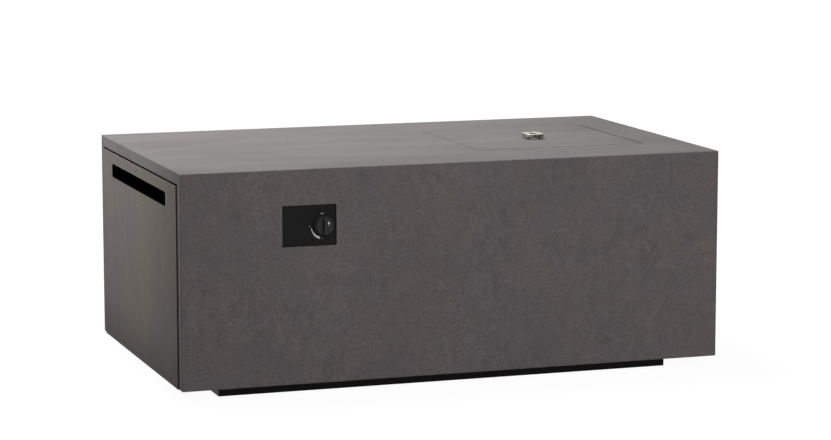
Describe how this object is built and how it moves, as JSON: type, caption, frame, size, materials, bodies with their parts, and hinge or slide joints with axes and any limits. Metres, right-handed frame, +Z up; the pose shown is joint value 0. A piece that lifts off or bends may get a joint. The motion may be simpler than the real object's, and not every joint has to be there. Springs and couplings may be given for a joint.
{
  "type": "fire pit table",
  "caption": "Low rectangular concrete gas fire table with a flush lid over the burner, a recessed control knob and a pull-out end drawer for the gas cylinder.",
  "frame": {"origin": "on the floor under the middle of the shell, at the underside of the plinth's middle rail", "axes": "+X along the table to its closed end, +Y to the back, +Z up; the controls face -Y and the tank drawer opens to -X"},
  "size_m": [1.527, 0.9374, 0.6248],
  "materials": {
    "concrete": "satin",
    "black_steel": "satin",
    "control_black": "satin",
    "zinc_steel": "satin",
    "stainless": "brushed",
    "polished_steel": "polished",
    "brass": "satin",
    "cast_alloy": "cast",
    "black_iron": "matte",
    "rubber": "matte",
    "knob_plastic": "satin",
    "lava_rock": "rough",
    "ceramic": "glazed",
    "tube_steel": "satin",
    "lead_insulation": "matte"
  },
  "bodies": {
    "root": {"top_slab": "concrete", "front_panel": "concrete", "back_panel": "concrete", "end_panel": "concrete", "panel_tabs": "black_steel", "panel_screws": "zinc_steel", "panel_inserts": "brass", "plinth_side_rails": "black_steel", "plinth_cross_rails": "black_steel", "base_plate": "zinc_steel", "frame_posts": "black_steel", "frame_bottom_side_rails": "black_steel", "frame_bottom_cross_rails": "black_steel", "frame_top_side_rails": "black_steel", "frame_top_cross_rails": "black_steel", "burner_rails": "black_steel", "slide_rails": "black_steel", "partition": "zinc_steel", "partition_grommet": "rubber", "slide_outer": "zinc_steel", "magnet_catches": "rubber", "control_plate": "control_black", "control_box": "black_steel", "valve_body": "cast_alloy", "valve_screws": "zinc_steel", "valve_inlet": "brass", "valve_outlet": "brass", "gas_tube": "tube_steel", "thermocouple_lead": "brass", "igniter_lead": "lead_insulation", "burner_pan": "stainless", "burner_ring": "stainless", "burner_riser": "stainless", "burner_locknuts": "zinc_steel", "burner_elbow": "black_iron", "air_mixer": "cast_alloy", "orifice_holder": "brass", "pilot_hood": "stainless", "pilot_bracket": "stainless", "igniter_electrode": "ceramic", "thermocouple": "stainless", "fire_media": "lava_rock"},
    "lid": {"lid_panel": "concrete", "lid_handle": "polished_steel", "lid_handle_screws": "stainless", "lid_bumpers": "rubber"},
    "drawer": {"drawer_front": "concrete", "drawer_front_screws": "zinc_steel", "drawer_front_inserts": "brass", "drawer_sides": "zinc_steel", "drawer_floor": "zinc_steel", "drawer_back": "zinc_steel", "drawer_uprights": "black_steel", "tank_ring": "zinc_steel", "slide_inner": "zinc_steel", "catch_strikes": "zinc_steel"},
    "slide_middle": {"slide_middle": "zinc_steel"},
    "knob_push": {"valve_plunger": "brass"},
    "knob": {"control_knob": "knob_plastic", "valve_spindle": "brass"}
  },
  "joints": [
    {"name": "lid_lift", "type": "slide", "parent": "root", "child": "lid", "axis": [0, 0, 1], "range_m": [0, 0.3]},
    {"name": "drawer_slide", "type": "slide", "parent": "root", "child": "drawer", "axis": [-1, 0, 0], "range_m": [0, 0.4]},
    {"name": "slide_middle_travel", "type": "slide", "parent": "root", "child": "slide_middle", "axis": [-1, 0, 0], "range_m": [0, 0.2]},
    {"name": "knob_press", "type": "slide", "parent": "root", "child": "knob_push", "axis": [0, 1, 0], "range_m": [0, 0.003], "stiffness_N_per_m": 700},
    {"name": "knob_turn", "type": "hinge", "parent": "knob_push", "child": "knob", "pos_m": [-0.374, -0.4572, 0.457], "axis": [0, -1, 0], "range_deg": [0, 180]}
  ],
  "couplings": [
    {"joint": "slide_middle_travel", "follows": "drawer_slide", "ratio": 0.5}
  ]
}
